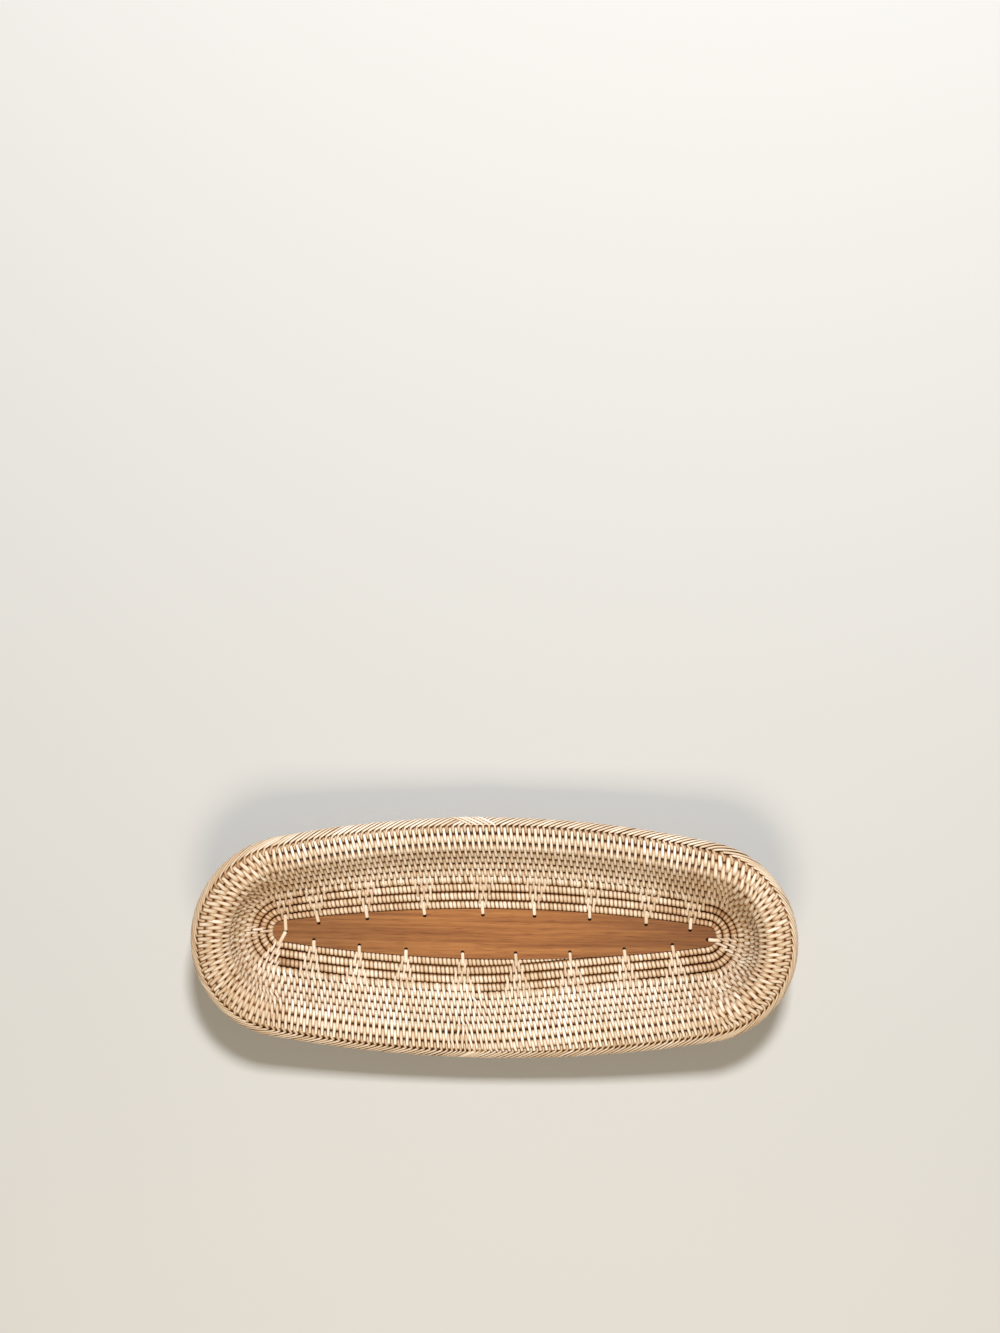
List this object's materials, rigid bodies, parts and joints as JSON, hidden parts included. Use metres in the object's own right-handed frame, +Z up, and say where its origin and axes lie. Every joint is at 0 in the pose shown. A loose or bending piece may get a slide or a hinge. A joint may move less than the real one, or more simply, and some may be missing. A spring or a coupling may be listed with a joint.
{
  "type": "bread basket",
  "caption": "Long oval coiled rattan bread basket with a drilled wooden base board, wrapped and stitched coils, and a bordered, rolled-over rim.",
  "frame": {"origin": "centre of the basket's length and width, on the underside of the base board, which is the surface that it rests on", "axes": "+X along the length of the basket, +Y across its width, +Z up out of the bowl"},
  "size_m": [0.4614, 0.1838, 0.0491],
  "materials": {
    "board_wood": "planed reddish-brown hardwood with a thin oil finish and fine grain along the length",
    "rattan_core": "round peeled rattan rod, matte",
    "rattan_peel": "flat rattan peel, pale straw with tan strips among it, satin outside and matte at the edges",
    "rattan_tie": "flat rattan peel, the palest strips, satin"
  },
  "bodies": {
    "root": {"base_board": "board_wood", "board_ties": "rattan_tie", "tie_lashings": "rattan_tie", "rim_core": "rattan_core", "rim_border": "rattan_peel", "core_turn_01": "rattan_core", "wrap_turn_01": "rattan_peel", "core_turn_02": "rattan_core", "wrap_turn_02": "rattan_peel", "core_turn_03": "rattan_core", "wrap_turn_03": "rattan_peel", "core_turn_04": "rattan_core", "wrap_turn_04": "rattan_peel", "core_turn_05": "rattan_core", "wrap_turn_05": "rattan_peel", "core_turn_06": "rattan_core", "wrap_turn_06": "rattan_peel", "core_turn_07": "rattan_core", "wrap_turn_07": "rattan_peel", "core_turn_08": "rattan_core", "wrap_turn_08": "rattan_peel", "core_turn_09": "rattan_core", "wrap_turn_09": "rattan_peel", "core_turn_10": "rattan_core", "wrap_turn_10": "rattan_peel", "core_turn_11": "rattan_core", "wrap_turn_11": "rattan_peel"}
  },
  "joints": []
}
